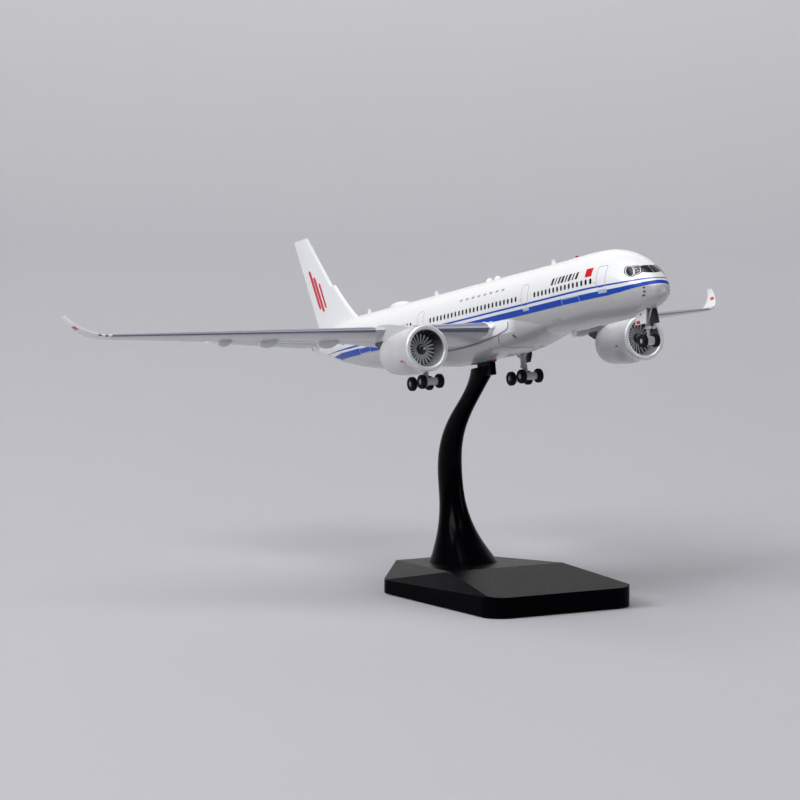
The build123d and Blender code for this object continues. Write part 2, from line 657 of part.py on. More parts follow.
socket = peg_socket()
fuselage = only_solid(skin - wings - socket - slot - tail - mirrored(tail) - fin - nose_bay())
export("fuselage", fuselage)
export("belly_fairing", only_solid(bulge - skin - wings - socket))
export("peg_socket", only_solid(socket - slot))
export("fin", fin)
export_pair("wing", wing)
export_pair("tailplane", tail)
export_pair("flap_fairings", flap_fairings(wing))

cowl = nacelle()
core = engine_core()
export_pair("nacelle", cowl)
export_pair("engine_core", core)
export_pair("pylon", pylon(wing, cowl, core))
export_pair("fan", fan())
export_pair("fan_pin", fan_pin())

export("nose_leg", nose_leg(fuselage))
export_pair("nose_door", nose_door(fuselage))
axle, hubs, tyres = wheel_pair(NOSE_GEAR_STATION, 0, NOSE_WHEEL_Z, NOSE_TRACK, NOSE_WHEEL_RADIUS,
                               NOSE_WHEEL_WIDTH, NOSE_HUB_RADIUS, NOSE_AXLE_RADIUS)
export("nose_axle", axle)
export("nose_hubs", hubs)
export("nose_tyres", tyres)

export_pair("main_leg", main_leg(wing, bulge))
export_pair("main_door", main_door(wing))
export_pair("bogie", bogie())
for name, sign in (("front", -1), ("rear", 1)):
    station = MAIN_GEAR_STATION + sign * BOGIE_WHEELBASE / 2
    axle, hubs, tyres = wheel_pair(station, MAIN_GEAR_Y, MAIN_WHEEL_Z, BOGIE_TRACK, MAIN_WHEEL_RADIUS,
                                   MAIN_WHEEL_WIDTH, MAIN_HUB_RADIUS, MAIN_AXLE_RADIUS)
    export_pair(f"{name}_axle", axle)
    export_pair(f"{name}_hubs", hubs)
    export_pair(f"{name}_tyres", tyres)

radome = pod(at(217.0, 0, CROWN_Z - 0.4), 18.0, 7.5, 4.2)
export("satcom_radome", only_solid(radome - skin))
domes = [Location(at(s, 0, CROWN_Z - 0.2)) * Sphere(1.7) for s in (135.6, 142.9)]
export("comm_domes", [only_solid(d - skin) for d in domes])
blades = [blade_antenna(s, CROWN_Z, 2.0) for s in (88.1, 190.4, 254.9)]
blades.append(blade_antenna(77.0, KEEL_Z, 2.6, -1))
export("blade_antennas", [only_solid(b - skin - bulge) for b in blades])
lamp = Location(at(69.5, 0, CROWN_Z)) * Cylinder(0.7, 1.8)
export("beacon_top", only_solid(lamp - skin))
lamp = Location(at(144.6, 0, BELLY_BOTTOM)) * Cylinder(0.7, 1.8)
export("beacon_belly", only_solid(lamp - bulge))

base = stand_base()
arm = stand_arm() - base + PERCH * peg()
screw_hole = Location((ARM_FOOT_X, 0, 0)) * Cylinder(SCREW_SHANK, 30)
export("stand_arm", only_solid(arm + tenon() - screw_hole), STAND)
export("stand_base", base, STAND)
export("stand_screw", stand_screw(), STAND)
export("stand_pads", stand_pads(), STAND)
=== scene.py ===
import json
import math

import bmesh
import bpy
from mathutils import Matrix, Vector
from mathutils.bvhtree import BVHTree


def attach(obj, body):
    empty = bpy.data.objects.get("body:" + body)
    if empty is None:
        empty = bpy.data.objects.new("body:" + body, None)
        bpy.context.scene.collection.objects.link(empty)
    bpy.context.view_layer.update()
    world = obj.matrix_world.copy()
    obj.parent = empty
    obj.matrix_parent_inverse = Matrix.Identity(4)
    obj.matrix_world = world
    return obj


# Looks of a desktop airliner model on its stand.  Metres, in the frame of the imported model.
# Most positions are given in the aircraft's own axes, in millimetres: the station behind the
# nose datum, the distance to port, and the height above the datum.

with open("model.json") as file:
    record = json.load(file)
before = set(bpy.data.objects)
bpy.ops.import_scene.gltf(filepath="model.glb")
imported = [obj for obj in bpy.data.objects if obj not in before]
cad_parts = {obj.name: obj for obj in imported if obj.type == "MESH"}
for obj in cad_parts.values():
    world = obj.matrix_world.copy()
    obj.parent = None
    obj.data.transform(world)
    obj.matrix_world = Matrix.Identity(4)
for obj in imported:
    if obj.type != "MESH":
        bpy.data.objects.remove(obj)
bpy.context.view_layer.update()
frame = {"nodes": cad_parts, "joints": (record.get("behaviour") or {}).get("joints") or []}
nodes = frame["nodes"]
MM = 0.001

# ------------------------------------------------------------------ the aircraft's axes

joints = {j["name"]: j for j in frame["joints"]}
FORWARD = Vector(joints["fan_left_spin"]["axis"]).normalized()
PORT = Vector((0, 1, 0))
UPWARD = FORWARD.cross(PORT)
FAN_STATION, FAN_Y, FAN_Z = 114.2, 52.0, -13.2
ORIGIN = Vector(joints["fan_left_spin"]["pos_m"])
ORIGIN += (FORWARD * FAN_STATION - PORT * FAN_Y - UPWARD * FAN_Z) * MM

# Edges and hinges: the station at the centreline, and how far aft they run for each mm outwards
WING_LE_AT_ZERO, WING_LE_SLOPE = 103.96, 0.6713
TAIL_LE_AT_ZERO, TAIL_LE_SLOPE = 292.9, 0.681
TAIL_HINGE_AT_ZERO, TAIL_HINGE_SLOPE = 309.8, 0.39
# The fin's edge and the rudder's hinge: the station at the fin's foot, and how they lean aft
FIN_FOOT = 15
FIN_LE_AT_FOOT, FIN_LE_SLOPE = 272.6, 0.8727
RUDDER_AT_FOOT, RUDDER_SLOPE = 296.5, 0.545
# The wing's chord at its root and kink, and how it narrows outwards from each
ROOT_Y, ROOT_CHORD, INNER_TAPER = 10, 63.5, 0.595
KINK_Y, KINK_CHORD, OUTER_TAPER = 52, 38.5, 0.2513
FLAP_HINGE = 0.70       # share of the chord
SLATS_INNER, SLATS_OUTER = (17.6, 47.3), (56.6, 148.7)
BELLY_LINE = -1.6       # height where the skin turns from white to grey

NOSE_WRAP = 40.0        # ahead of this station, prints on the nose wrap round to the other side


def aircraft(station, y, z):
    """A point of the tipped aircraft, in metres."""
    return ORIGIN + (-FORWARD * station + PORT * y + UPWARD * z) * MM


# ------------------------------------------------------------------ shader expressions

class Shade:
    """A shader value that can be used in plain arithmetic."""

    def __init__(self, tree, out):
        self.tree, self.out = tree, out

    def math(self, operation, *others, clamp=False):
        node = self.tree.nodes.new("ShaderNodeMath")
        node.operation = operation
        node.use_clamp = clamp
        for socket, value in zip(node.inputs, (self,) + others):
            if isinstance(value, Shade):
                self.tree.links.new(value.out, socket)
            else:
                socket.default_value = value
        return Shade(self.tree, node.outputs[0])

    def __add__(self, other):
        return self.math("ADD", other)

    def __sub__(self, other):
        return self.math("SUBTRACT", other)

    def __mul__(self, other):
        return self.math("MULTIPLY", other)

    def __truediv__(self, other):
        return self.math("DIVIDE", other)

    def __neg__(self):
        return self.math("MULTIPLY", -1.0)

    def abs(self):
        return self.math("ABSOLUTE")

    def max(self, other):
        return self.math("MAXIMUM", other)

    def min(self, other):
        return self.math("MINIMUM", other)

    def past(self, place, soft=0.12):
        """0 before a place and 1 beyond it, with a soft edge."""
        return (self - place).math("DIVIDE", soft).math("ADD", 0.5, clamp=True)

    def between(self, low, high, soft=0.12):
        return self.past(low, soft) * (Shade.one(self) - self.past(high, soft))

    def line(self, place, width=0.14):
        """1 on a thin line where the value crosses a place."""
        return (-((self - place).abs() - width)).math("DIVIDE", width).math("ADD", 0, clamp=True)

    @staticmethod
    def one(like):
        return like.math("MULTIPLY", 0.0).math("ADD", 1.0)


class Paint:
    """A Principled material being put together."""

    def __init__(self, name, colour, roughness=0.4, metallic=0.0, coat=0.0, ior=1.5):
        self.material = bpy.data.materials.new(name)
        self.material.use_nodes = True
        self.tree = self.material.node_tree
        self.shader = self.tree.nodes["Principled BSDF"]
        self.shader.inputs["Metallic"].default_value = metallic
        self.shader.inputs["Coat Weight"].default_value = coat
        self.shader.inputs["Coat Roughness"].default_value = 0.04
        self.shader.inputs["IOR"].default_value = ior
        self.place = self.tree.nodes.new("ShaderNodeTexCoord").outputs["Object"]
        self.colour = self.plain(colour)
        self.roughness = self.noise(160, 2, 0.5) * 0.05 + (roughness - 0.025)
        self.height = None

    def plain(self, colour):
        node = self.tree.nodes.new("ShaderNodeRGB")
        node.outputs[0].default_value = (*colour, 1)
        return node.outputs[0]

    def noise(self, scale, detail=3, rough=0.5, stretch=(1, 1, 1)):
        mapping = self.tree.nodes.new("ShaderNodeMapping")
        mapping.inputs["Scale"].default_value = stretch
        node = self.tree.nodes.new("ShaderNodeTexNoise")
        node.inputs["Scale"].default_value = scale
        node.inputs["Detail"].default_value = detail
        node.inputs["Roughness"].default_value = rough
        self.tree.links.new(self.place, mapping.inputs[0])
        self.tree.links.new(mapping.outputs[0], node.inputs["Vector"])
        return Shade(self.tree, node.outputs[0])

    def along(self, axis, start):
        """Distance in millimetres from a point along an axis of the row."""
        shift = self.tree.nodes.new("ShaderNodeVectorMath")
        shift.operation = "SUBTRACT"
        shift.inputs[1].default_value = start
        dot = self.tree.nodes.new("ShaderNodeVectorMath")
        dot.operation = "DOT_PRODUCT"
        dot.inputs[1].default_value = axis / MM
        self.tree.links.new(self.place, shift.inputs[0])
        self.tree.links.new(shift.outputs[0], dot.inputs[0])
        return Shade(self.tree, dot.outputs["Value"])

    def axes(self):
        """Station, distance from the centreline and height, in millimetres."""
        station = self.along(-FORWARD, ORIGIN)
        return station, self.along(PORT, ORIGIN).abs(), self.along(UPWARD, ORIGIN)

    def tint(self, mask, colour):
        """Paints another colour where the mask is 1."""
        mix = self.tree.nodes.new("ShaderNodeMix")
        mix.data_type = "RGBA"
        self.tree.links.new(mask.out, mix.inputs[0])
        self.tree.links.new(self.colour, mix.inputs[6])
        self.tree.links.new(colour if not isinstance(colour, tuple) else self.plain(colour),
                            mix.inputs[7])
        self.colour = mix.outputs[2]

    def mottle(self, amount, scale=60, stretch=(1, 1, 1)):
        """Varies the colour's brightness gently over the surface."""
        mask = (self.noise(scale, 4, 0.55, stretch) - 0.5) * amount + 1
        scaled = self.tree.nodes.new("ShaderNodeVectorMath")
        scaled.operation = "SCALE"
        self.tree.links.new(self.colour, scaled.inputs[0])
        self.tree.links.new(mask.out, scaled.inputs["Scale"])
        self.colour = scaled.outputs[0]

    def emboss(self, mask, depth):
        """Raises the surface by depth, in millimetres, where the mask is 1."""
        self.height = mask * depth if self.height is None else self.height + mask * depth

    def finish(self):
        links = self.tree.links
        links.new(self.colour, self.shader.inputs["Base Color"])
        links.new(self.roughness.out, self.shader.inputs["Roughness"])
        if self.height is not None:
            bump = self.tree.nodes.new("ShaderNodeBump")
            bump.inputs["Strength"].default_value = 1.0
            bump.inputs["Distance"].default_value = MM
            links.new(self.height.out, bump.inputs["Height"])
            links.new(bump.outputs[0], self.shader.inputs["Normal"])
        return self.material


def dress(material, *names):
    """Gives a material to CAD nodes."""
    for name in names:
        node = nodes[name]
        node.data.materials.clear()
        node.data.materials.append(material)
        for slot in node.material_slots:
            slot.link = "DATA"


SIDES = ((1, "port"), (-1, "starboard"))    # the sides of the aircraft, as prints name them
HALVES = ((1, "left"), (-1, "right"))       # and as CAD nodes name them


def both(name):
    return f"{name}_left", f"{name}_right"


# ------------------------------------------------------------------ colours

WHITE = (0.86, 0.865, 0.88)
LOWER_GREY = (0.50, 0.50, 0.50)
WING_GREY = (0.52, 0.525, 0.54)
COWL_GREY = (0.56, 0.56, 0.58)
SLAT_BLUE = (0.18, 0.185, 0.255)
SEAM = (0.16, 0.16, 0.17)
BLUE = (0.0, 0.056, 0.44)
RED = (0.62, 0.006, 0.012)

DUCT_RADIUS = 7.6       # just outside the inlet duct's wall

# ------------------------------------------------------------------ paints of the aircraft


def skin_paint(name):
    """Gloss white above the stripe and light grey below it, with fine engraved seams."""
    paint = Paint(name, WHITE, 0.26, coat=0.5)
    station, y, z = paint.axes()
    paint.tint(-(z - BELLY_LINE).past(0.0, 0.3) + 1, LOWER_GREY)
    glove = station.between(104, 190, 6) * z.past(-8.6, 0.3) * y.past(12.4, 0.3)
    paint.tint(glove, WHITE)
    paint.mottle(0.05, 25)
    seams = station.line(28.0, 0.1) * z.between(-6.5, -3, 0.3)
    for place in (16.0, 58.0, 82.0, 214.0, 246.0, 268.0, 296.0):
        seams = seams + station.line(place, 0.07) * 0.45
    paint.tint(seams * 0.6, SEAM)
    paint.emboss(seams, -0.03)
    exhaust = station.past(311.8, 0.3)
    paint.tint(exhaust, (0.09, 0.09, 0.1))
    paint.emboss(paint.noise(700, 2), 0.0008)
    return paint.finish()


def wing_paint(name):
    """Light grey with blue-grey leading-edge slats and engraved control surfaces."""
    paint = Paint(name, WING_GREY, 0.3, coat=0.35)
    station, y, z = paint.axes()
    behind = station - y * WING_LE_SLOPE - WING_LE_AT_ZERO
    inner_chord = -(y - ROOT_Y) * INNER_TAPER + ROOT_CHORD
    chord = inner_chord.max(-(y - KINK_Y) * OUTER_TAPER + KINK_CHORD)
    share = behind / chord
    top = (z - y * 0.0945 + behind * 0.04).past(-7.1, 0.5)
    white_tip = y.past(149.0, 0.3)
    inboard = -((y - 17.0) / 60.0).min(1.0) + 1
    slat_depth = top * 6.4 + inboard * 1.1 + 0.75
    slats = y.between(*SLATS_INNER, 0.15) + y.between(*SLATS_OUTER, 0.15)
    slats = slats * (-(behind - slat_depth)).past(0.0, 0.12)
    paint.tint(white_tip, (0.74, 0.75, 0.77))
    paint.tint((-(y - 17.4)).past(0, 0.2) * (-(behind - 9)).past(0, 1), WHITE)
    walk = share.between(0.18, 0.66, 0.01) * top * y.between(16, 146, 0.2)
    paint.tint(walk, (0.47, 0.475, 0.49))
    paint.mottle(0.07, 45)
    seams = share.line(FLAP_HINGE, 0.004) * y.between(18, 148, 0.3)
    for place in (37.0, 53.5, 62.0, 98.0, 131.0):
        seams = seams + y.line(place, 0.09) * share.past(FLAP_HINGE, 0.01)
    for place in (28.0, 72.0, 90.0, 109.0, 129.0):
        seams = seams + y.line(place, 0.08) * (-(share - 0.12)).past(0, 0.01)
    for place in (24.0, 44.0, 66.0, 88.0, 112.0, 136.0):
        seams = seams + y.line(place, 0.06) * share.between(0.12, 0.7, 0.01) * 0.4
    seams = seams + share.line(0.18, 0.003) * y.between(16, 148, 0.3) * 0.5
    paint.tint(seams * 0.55, SEAM)
    paint.tint(slats, SLAT_BLUE)
    paint.tint(slats * (-(top + -1.0)), (0.125, 0.13, 0.185))
    paint.emboss(seams, -0.04)
    paint.emboss(paint.noise(700, 2), 0.0008)
    return paint.finish()


def tail_paint(name):
    """Grey with a white tip, a blue-grey leading edge and a hinge line."""
    paint = Paint(name, WING_GREY, 0.3, coat=0.35)
    station, y, z = paint.axes()
    paint.tint(y.past(44.6, 0.2), WHITE)
    paint.tint((-(station - y * TAIL_LE_SLOPE - TAIL_LE_AT_ZERO)).past(0, 0.15), SLAT_BLUE)
    paint.mottle(0.06, 45)
    hinge = (station - y * TAIL_HINGE_SLOPE - TAIL_HINGE_AT_ZERO).line(0, 0.09)
    paint.tint(hinge * 0.6, SEAM)
    paint.emboss(hinge, -0.04)
    return paint.finish()


def fin_paint():
    """White, with the rudder's hinge line and a bare metal leading edge."""
    paint = Paint("fin_paint", (0.86, 0.865, 0.885), 0.26, coat=0.5)
    station, y, z = paint.axes()
    lead = station - (z - FIN_FOOT) * FIN_LE_SLOPE - FIN_LE_AT_FOOT
    rudder = station - (z - FIN_FOOT) * RUDDER_SLOPE - RUDDER_AT_FOOT
    paint.tint((-(lead - 0.55)).past(0, 0.12) * z.past(34, 0.3), (0.62, 0.65, 0.70))
    paint.mottle(0.05, 30)
    hinge = rudder.line(0, 0.08) * z.between(18, 57, 0.3)
    tab = z.line(38.0, 0.07) * rudder.past(0, 0.1)
    paint.tint((hinge + tab) * 0.5, SEAM)
    paint.emboss(hinge + tab, -0.04)
    return paint.finish()


def cowl_paint(name, side):
    """Light grey cowl with a polished inlet lip and a mid-grey duct whose upper part is darkened as
    painted shade.
    """
    paint = Paint(name, COWL_GREY, 0.24, coat=0.5)
    station = paint.along(-FORWARD, ORIGIN)
    out = paint.along(PORT, aircraft(0, side * FAN_Y, FAN_Z))
    up = paint.along(UPWARD, aircraft(0, side * FAN_Y, FAN_Z))
    radius = (out * out + up * up).math("SQRT")
    paint.mottle(0.05, 60)
    seams = station.line(113.0, 0.07) + station.line(121.5, 0.07)
    seams = seams + up.line(0.0, 0.07) * station.past(121.5, 0.1)
    outside = radius.past(8.4, 0.1)
    paint.tint(seams * outside * 0.5, SEAM)
    paint.emboss(seams * outside, -0.03)
    lip = (-(station.past(107.9, 0.12)) + 1) * radius.past(DUCT_RADIUS - 0.1, 0.15)
    paint.tint(lip, (0.82, 0.83, 0.85))
    duct = (-(radius - DUCT_RADIUS)).past(0, 0.2)
    paint.tint(duct, (0.42, 0.425, 0.44))
    # Painted shade: the duct's upper part is darkened to near black, as if shadowed from the light
    # above.
    paint.tint(duct * up.past(0.5, 7.0), (0.008, 0.008, 0.01))
    metallic = lip * 0.35
    paint.tree.links.new(metallic.out, paint.shader.inputs["Metallic"])
    paint.roughness = paint.roughness + lip * 0.1
    return paint.finish()


def metal(name, colour, roughness, scratches=0.1, stretch=(1, 1, 1)):
    """Bare or silver-painted metal with faint tool marks."""
    paint = Paint(name, colour, roughness, metallic=0.85)
    paint.mottle(0.25, 260, stretch)
    paint.emboss(paint.noise(1800, 4, 0.6, stretch), scratches * 0.05)
    return paint.finish()


def plain_paint(name, colour, roughness=0.3, coat=0.4, grain=0.001, mottling=0.06, ior=1.5):
    """Sprayed paint or moulded plastic with a fine orange-peel grain."""
    paint = Paint(name, colour, roughness, coat=coat, ior=ior)
    paint.mottle(mottling, 80)
    paint.emboss(paint.noise(1200, 3), grain)
    return paint.finish()


def lens_paint(name, colour):
    paint = Paint(name, colour, 0.14, coat=1.0)
    paint.mottle(0.3, 300)
    paint.shader.inputs["Transmission Weight"].default_value = 0.25
    return paint.finish()


def rubber(name):
    """Black tyre rubber with a fine uneven grain."""
    paint = Paint(name, (0.004, 0.004, 0.005), 0.65, ior=1.3)
    paint.mottle(0.5, 400)
    paint.emboss(paint.noise(2500, 4, 0.7), 0.006)
    return paint.finish()


def fan_paint(name, side):
    """Bright blades round a dark spinner with a pale spiral."""
    paint = Paint(name, (0.92, 0.93, 0.95), 0.3)
    station = paint.along(-FORWARD, ORIGIN)
    out = paint.along(PORT, aircraft(0, side * FAN_Y, FAN_Z))
    up = paint.along(UPWARD, aircraft(0, side * FAN_Y, FAN_Z))
    radius = (out * out + up * up).math("SQRT")
    angle = up.math("ARCTAN2", out)
    paint.mottle(0.15, 300)
    paint.tint(station.past(FAN_STATION - 0.6, 0.3), (0.004, 0.004, 0.005))
    paint.tint(-(radius.past(2.25, 0.12)) + 1, (0.05, 0.05, 0.056))
    spiral = (radius * 2.4 - angle).math("SINE").past(0.86, 0.2)
    paint.tint(spiral * radius.between(0.25, 1.7, 0.2), (0.72, 0.72, 0.72))
    paint.tint(-(radius.past(0.55, 0.15)) + 1, (0.7, 0.7, 0.7))
    return paint.finish()


def pylon_paint():
    """Light grey, with the shadowed gap at the lower aft corner."""
    paint = Paint("pylon_paint", (0.6, 0.605, 0.62), 0.3, coat=0.3)
    station, y, z = paint.axes()
    paint.tint(station.past(143.0, 0.3) * (-(z + 6.2)).past(0, 0.3), (0.03, 0.03, 0.038))
    paint.mottle(0.07, 80)
    return paint.finish()


def core_paint():
    """Black vanes and casing inside the duct, and dark bare metal behind them."""
    paint = Paint("core_metal", (0.20, 0.20, 0.21), 0.42, metallic=0.6)
    station = paint.along(-FORWARD, ORIGIN)
    paint.tint(-(station.past(128.0, 1.0)) + 1, (0.008, 0.008, 0.010))
    paint.mottle(0.25, 260)
    paint.emboss(paint.noise(1800, 4, 0.6), 0.01)
    return paint.finish()


dress(skin_paint("skin_paint"), "fuselage", "belly_fairing")
dress(fin_paint(), "fin")
dress(wing_paint("wing_paint"), *both("wing"))
dress(tail_paint("tailplane_paint"), *both("tailplane"))
dress(plain_paint("fairing_paint", (0.50, 0.505, 0.52)), *both("flap_fairings"))
for side, name in HALVES:
    dress(cowl_paint(f"cowl_paint_{name}", side), f"nacelle_{name}")
    dress(fan_paint(f"fan_paint_{name}", side), f"fan_{name}")

dress(pylon_paint(), *both("pylon"))
dress(core_paint(), *both("engine_core"))
dress(metal("pin_steel", (0.55, 0.56, 0.58), 0.28), *both("fan_pin"))
gear_silver = plain_paint("gear_silver", (0.55, 0.56, 0.60), 0.3, 0.3, 0.003, 0.2)
dress(gear_silver, "nose_leg", "nose_axle", "nose_hubs", *both("main_leg"), *both("bogie"))
for end in ("front", "rear"):
    dress(gear_silver, *both(f"{end}_axle"), *both(f"{end}_hubs"))
    dress(rubber(f"{end}_tyre_rubber"), *both(f"{end}_tyres"))
dress(rubber("nose_tyre_rubber"), "nose_tyres")
# Painted shade: the main gear doors are painted near black to stand for their shadowed inner faces.
dress(plain_paint("dark_door_paint", (0.006, 0.006, 0.010), 0.4, 0.05, ior=1.35), *both("main_door"))
dress(plain_paint("nose_door_white", (0.72, 0.725, 0.74), 0.3), "nose_door_right")
# Painted shade: the left nose door is painted near black, while the right one is painted white.
dress(plain_paint("nose_door_painted_shade", (0.022, 0.021, 0.022), 0.4, 0.05), "nose_door_left")
dress(plain_paint("fitting_white", WHITE, 0.24, 0.5), "satcom_radome", "comm_domes",
      "blade_antennas")
dress(lens_paint("red_lens", (0.55, 0.008, 0.012)), "beacon_top", "beacon_belly")
dress(plain_paint("socket_grey", (0.10, 0.105, 0.11), 0.45, 0.1), "peg_socket")

# ------------------------------------------------------------------ the stand

for name, roughness, ior in (("stand_arm", 0.2, 1.1), ("stand_base", 0.28, 1.08)):
    gloss_black = Paint(f"{name}_black", (0.0008, 0.0008, 0.002), roughness, coat=0.01, ior=ior)
    gloss_black.mottle(0.4, 35)
    gloss_black.emboss(gloss_black.noise(500, 3), 0.002)
    dress(gloss_black.finish(), name)
dress(metal("screw_steel", (0.5, 0.51, 0.53), 0.3, 0.2, (1, 1, 0.2)), "stand_screw")
dress(plain_paint("pad_rubber", (0.02, 0.02, 0.022), 0.7, 0, 0.01, 0.4), "stand_pads")

# ------------------------------------------------------------------ prints on the skin

GRID = 0.7              # prints are cut into cells of about this size so that they bend
PRINT_DEPTH = 0.02      # a print's underside lies this far inside the skin

# Prints are pressed on along rays, which start at these places in the aircraft's axes
BESIDE = 90             # outside the engines
BEYOND_TIP = 190        # outside the wing tip
BETWEEN = 30            # between the fuselage and an engine
BELOW = -60
AHEAD = -30
RAY_LENGTH = 0.4        # in metres


def tree_of(*names):
    """A search tree over the surface of some CAD nodes."""
    verts, faces = [], []
    for name in names:
        mesh = nodes[name].data
        start = len(verts)
        verts += [v.co.copy() for v in mesh.vertices]
        faces += [[start + i for i in p.vertices] for p in mesh.polygons]
    return BVHTree.FromPolygons(verts, faces)


def from_side(side):
    """Prints drawn by station and height and pressed on from port (1) or starboard (-1)."""
    return lambda u, v: (aircraft(u, side * BESIDE, v), -PORT * side)


def from_tip(side):
    """Like from_side, but pressed on from beyond the wing tip."""
    return lambda u, v: (aircraft(u, side * BEYOND_TIP, v), -PORT * side)


def from_inside(side):
    """Like from_side, but pressed outwards from beside the fuselage."""
    return lambda u, v: (aircraft(u, side * BETWEEN, v), PORT * side)


def from_below(side):
    """Prints drawn by station and distance from the centreline, pressed on from below."""
    return lambda u, v: (aircraft(u, side * v, BELOW), UPWARD)


def from_front(u, v):
    """Prints drawn by distance to port and height, pressed on from ahead."""
    return aircraft(AHEAD, u, v), -FORWARD


def wrapped(side):
    """Like from_side, but ahead of NOSE_WRAP the print turns round the nose."""
    def place(u, v):
        if u >= NOSE_WRAP:
            return from_side(side)(u, v)
        turn = math.pi / 2 * max(u, 0) / NOSE_WRAP
        outward = FORWARD * math.cos(turn) + PORT * side * math.sin(turn)
        return aircraft(NOSE_WRAP, 0, v) + outward * (BESIDE * MM), -outward
    return place


def print_on(name, tree, outlines, place, material, lift=0.03, body="aircraft",
             grid=GRID):
    """A thin printed film: flat outlines cut into cells, laid on the skin and thickened."""
    sheet = bmesh.new()
    for outline in outlines:
        sheet.faces.new([sheet.verts.new((u, v, 0)) for u, v in outline])
    for axis in (0, 1):
        values = [v.co[axis] for v in sheet.verts]
        low, high = min(values), max(values)
        steps = int((high - low) / grid)
        for i in range(1, steps + 1):
            where, normal = Vector(), Vector()
            where[axis] = low + (high - low) * i / (steps + 1)
            normal[axis] = 1
            bmesh.ops.bisect_plane(sheet, geom=sheet.verts[:] + sheet.edges[:] + sheet.faces[:],
                                   plane_co=where, plane_no=normal)
    bmesh.ops.triangulate(sheet, faces=[f for f in sheet.faces if len(f.verts) > 4])
    missed = []
    tops = {}
    for vert in sheet.verts:
        start, direction = place(vert.co.x, vert.co.y)
        hit, normal, _, _ = tree.ray_cast(start, direction, RAY_LENGTH)
        if hit is None:
            missed.append(vert)
            continue
        if normal.dot(direction) > 0:
            normal = -normal
        tops[vert] = hit + normal * lift * MM
        vert.co = hit - normal * PRINT_DEPTH * MM
    bmesh.ops.delete(sheet, geom=missed, context="VERTS")
    faces = sheet.faces[:]
    upper = {v: sheet.verts.new(tops[v]) for v in sheet.verts[:]}
    rims = [e for e in sheet.edges if len(e.link_faces) == 1]
    for face in faces:
        sheet.faces.new([upper[v] for v in face.verts])
    for edge in rims:
        a, b = edge.verts
        sheet.faces.new([a, b, upper[b], upper[a]])
    bmesh.ops.recalc_face_normals(sheet, faces=sheet.faces)
    mesh = bpy.data.meshes.new(name)
    sheet.to_mesh(mesh)
    sheet.free()
    piece = bpy.data.objects.new(name, mesh)
    bpy.context.scene.collection.objects.link(piece)
    mesh.materials.append(material)
    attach(piece, body)
    return piece


def rounded(u, v, width, height, radius, lean=0.0, corners=3):
    """A rounded rectangle about a centre, leaning over by lean times its height."""
    points = []
    for i, (su, sv) in enumerate(((1, 1), (-1, 1), (-1, -1), (1, -1))):
        for k in range(corners + 1):
            turn = math.pi / 2 * (i + k / corners)
            x = su * (width / 2 - radius) + radius * math.cos(turn)
            y = sv * (height / 2 - radius) + radius * math.sin(turn)
            points.append((u + x + lean * y, v + y))
    return points


def ribbon(points, width):
    """Quads that follow a polyline in the drawing plane."""
    quads = []
    path = [Vector(p) for p in points]
    sides = []
    for i, p in enumerate(path):
        ahead = (path[min(i + 1, len(path) - 1)] - path[max(i - 1, 0)]).normalized()
        across = Vector((-ahead.y, ahead.x)) * width / 2
        sides.append((p + across, p - across))
    for (a, b), (c, d) in zip(sides, sides[1:]):
        quads.append([tuple(a), tuple(b), tuple(d), tuple(c)])
    return quads


def loop(points, width):
    """A ribbon that closes on itself."""
    return ribbon(points + points[:1], width)


def strip(stations, low, high):
    """Quads between two height curves, each a list of (station, height)."""
    def value(curve, s):
        for (a, p), (b, q) in zip(curve, curve[1:]):
            if s <= b:
                return p + (q - p) * max(0.0, (s - a) / (b - a))
        return curve[-1][1]
    quads = []
    for a, b in zip(stations, stations[1:]):
        quads.append([(a, value(low, a)), (b, value(low, b)), (b, value(high, b)),
                      (a, value(high, a))])
    return quads


# Inks and films
blue_film = plain_paint("blue_film", BLUE, 0.4, 0.05, ior=1.35)
grey_line = plain_paint("grey_line", (0.36, 0.36, 0.38), 0.35, 0.2)
pale_line = plain_paint("pale_line", (0.42, 0.50, 0.70), 0.35, 0.2)
dark_ink = plain_paint("dark_ink", (0.016, 0.017, 0.024), 0.4, 0.05, ior=1.35)
seam_ink = plain_paint("seam_ink", (0.10, 0.10, 0.11), 0.4, 0.0)
soft_ink = plain_paint("soft_ink", (0.24, 0.25, 0.28), 0.35, 0.2)
black_ink = plain_paint("black_ink", (0.004, 0.004, 0.007), 0.3, 0.05, ior=1.35)
red_film = plain_paint("red_film", RED, 0.3, 0.2)
white_film = plain_paint("white_film", (0.82, 0.83, 0.85), 0.26, 0.5)
glass_film = plain_paint("glass_film", (0.012, 0.013, 0.022), 0.18, 0.1, ior=1.4)
window_film = plain_paint("window_film", (0.012, 0.014, 0.024), 0.25, 0.1, ior=1.4)
brown_ink = plain_paint("brown_ink", (0.10, 0.06, 0.055), 0.4, 0.2)

skin_tree = tree_of("fuselage", "belly_fairing")

# The edges of the two stripes, as stations and heights
THIN_LOW = [(0, 1.15), (3.5, 1.1), (8, 0.9), (13, 0.75), (22, 0.8), (45, 0.85), (205, 0.85), (229, 1.0),
            (243, 1.2), (254, 1.35), (271, 1.75), (291.5, 2.1)]
THIN_HIGH = [(0, 1.5), (3.5, 1.5), (8, 1.4), (13, 1.35), (22, 1.45), (45, 1.6), (205, 1.6), (229, 1.65),
             (243, 2.0), (254, 2.1), (271, 2.2), (291.5, 2.2)]
THICK_LOW = [(0, -1.1), (3.5, -1.4), (8, -1.9), (13, -2.6), (21, -3.0), (45, -2.95), (60, -2.85),
             (205, -2.9), (228, -2.55), (247, -2.4), (260, -2.05), (275, -1.8), (283, 0.2)]
THICK_HIGH = [(0, 0.35), (3.5, 0.1), (8, -0.35), (13, -0.65), (21, -0.7), (45, -0.6), (60, -0.38),
              (205, -0.35), (233, -0.1), (243, 0.3), (255, 0.45), (267, 0.6), (283, 0.25)]


def stations_between(start, end, count):
    return [start + (end - start) * i / count for i in range(count + 1)]


